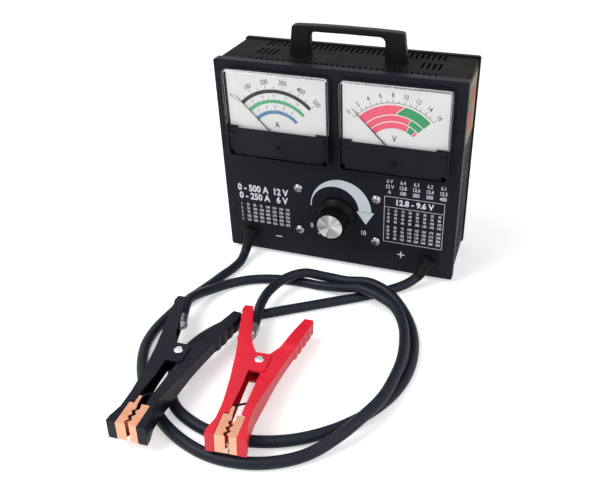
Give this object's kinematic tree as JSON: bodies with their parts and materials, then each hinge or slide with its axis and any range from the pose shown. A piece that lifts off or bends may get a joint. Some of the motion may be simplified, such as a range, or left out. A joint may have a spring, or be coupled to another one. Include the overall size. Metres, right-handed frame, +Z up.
{
  "type": "battery tester",
  "caption": "Carbon-pile battery load tester: black steel case with carry handle, ammeter and voltmeter dials, load knob and two heavy leads with spring clamps.",
  "frame": {"origin": "middle of the case's footprint at the underside of the rubber feet, on the surface it stands on", "axes": "+Z up, front panel faces -Y, +X to the right as seen from the front"},
  "size_m": [0.281, 0.4015, 0.2685],
  "materials": {
    "case_black": "satin powder coat",
    "zinc_steel": "zinc plated",
    "black_screw": "blackened",
    "foot_rubber": "matte",
    "cable_jacket": "satin",
    "black_plastic": "satin",
    "clear_cover": "polished",
    "dial_white": "matte print",
    "needle_black": "matte",
    "brass": "satin",
    "spun_aluminium": "spun",
    "chrome": "polished",
    "copper": "satin",
    "carbon": "matte",
    "ceramic": "matte",
    "laminate": "matte",
    "clamp_black": "gloss",
    "clamp_red": "gloss",
    "spring_steel": "oiled"
  },
  "bodies": {
    "tester": {"front_panel": "case_black", "wrap_cover": "case_black", "rear_panel": "case_black", "base_plate": "zinc_steel", "feet": "foot_rubber", "case_screws": "black_screw", "handle": "black_plastic", "handle_screws": "zinc_steel", "amps_base": "black_plastic", "amps_cover": "clear_cover", "amps_mask": "black_plastic", "amps_dial": "dial_white", "volts_base": "black_plastic", "volts_cover": "clear_cover", "volts_mask": "black_plastic", "volts_dial": "dial_white", "meter_magnets": "zinc_steel", "meter_screws": "black_screw", "meter_nuts": "brass", "meter_terminals": "brass", "screw_bushing": "brass", "front_yoke": "zinc_steel", "pile_screws": "chrome", "cup_washers": "chrome", "carbon_discs": "carbon", "guide_tube": "ceramic", "rear_electrode": "copper", "rear_insulator": "laminate", "rear_yoke": "zinc_steel", "pile_nuts": "zinc_steel", "shunt": "brass", "negative_strap": "copper", "positive_strap": "copper", "inner_leads": "cable_jacket", "meter_wires": "cable_jacket", "cable_glands": "foot_rubber", "negative_lead": "cable_jacket", "positive_lead": "cable_jacket", "black_fixed_arm": "clamp_black", "black_fixed_jaw": "copper", "red_fixed_arm": "clamp_red", "red_fixed_jaw": "copper", "clamp_rivets": "chrome", "clamp_springs": "spring_steel", "clamp_crimps": "zinc_steel", "clamp_jumpers": "cable_jacket"},
    "load_control": {"load_knob": "black_plastic", "knob_cap": "spun_aluminium", "lead_screw": "zinc_steel"},
    "pressure_plate": {"pressure_plate": "zinc_steel", "front_electrode": "copper"},
    "amps_needle": {"amps_pointer": "needle_black"},
    "volts_needle": {"volts_pointer": "needle_black"},
    "amps_zero": {"amps_zero_screw": "black_plastic"},
    "volts_zero": {"volts_zero_screw": "black_plastic"},
    "black_clamp": {"black_moving_arm": "clamp_black", "black_moving_jaw": "copper"},
    "red_clamp": {"red_moving_arm": "clamp_red", "red_moving_jaw": "copper"}
  },
  "joints": [
    {"name": "load_turn", "type": "hinge", "parent": "tester", "child": "load_control", "pos_m": [0, -0.031, 0.0677], "axis": [0, 1, 0], "range_deg": [0, 243]},
    {"name": "pile_press", "type": "slide", "parent": "tester", "child": "pressure_plate", "axis": [0, 1, 0], "range_m": [0, 0.00169]},
    {"name": "amps_swing", "type": "hinge", "parent": "tester", "child": "amps_needle", "pos_m": [-0.06425, -0.031, 0.1558], "axis": [0, 1, 0], "range_deg": [0, 90], "stiffness_Nm_per_rad": 0.0002},
    {"name": "volts_swing", "type": "hinge", "parent": "tester", "child": "volts_needle", "pos_m": [0.06425, -0.031, 0.1558], "axis": [0, 1, 0], "range_deg": [0, 90], "stiffness_Nm_per_rad": 0.0002},
    {"name": "amps_zero_turn", "type": "hinge", "parent": "tester", "child": "amps_zero", "pos_m": [-0.06425, -0.031, 0.1438], "axis": [0, 1, 0], "range_deg": [-40, 40]},
    {"name": "volts_zero_turn", "type": "hinge", "parent": "tester", "child": "volts_zero", "pos_m": [0.06425, -0.031, 0.1438], "axis": [0, 1, 0], "range_deg": [-40, 40]},
    {"name": "black_clamp_open", "type": "hinge", "parent": "tester", "child": "black_clamp", "pos_m": [-0.088, -0.245, 0.0209], "axis": [0.0337, 0.0236, 0.9992], "range_deg": [0, 18], "stiffness_Nm_per_rad": 0.8},
    {"name": "red_clamp_open", "type": "hinge", "parent": "tester", "child": "red_clamp", "pos_m": [-0.0109, -0.235, 0.0205], "axis": [0.0466, 0.0497, 0.9977], "range_deg": [0, 18], "stiffness_Nm_per_rad": 0.8}
  ],
  "couplings": [
    {"joint": "load_turn", "follows": "pile_press", "rad_per_m": 2513.3}
  ]
}
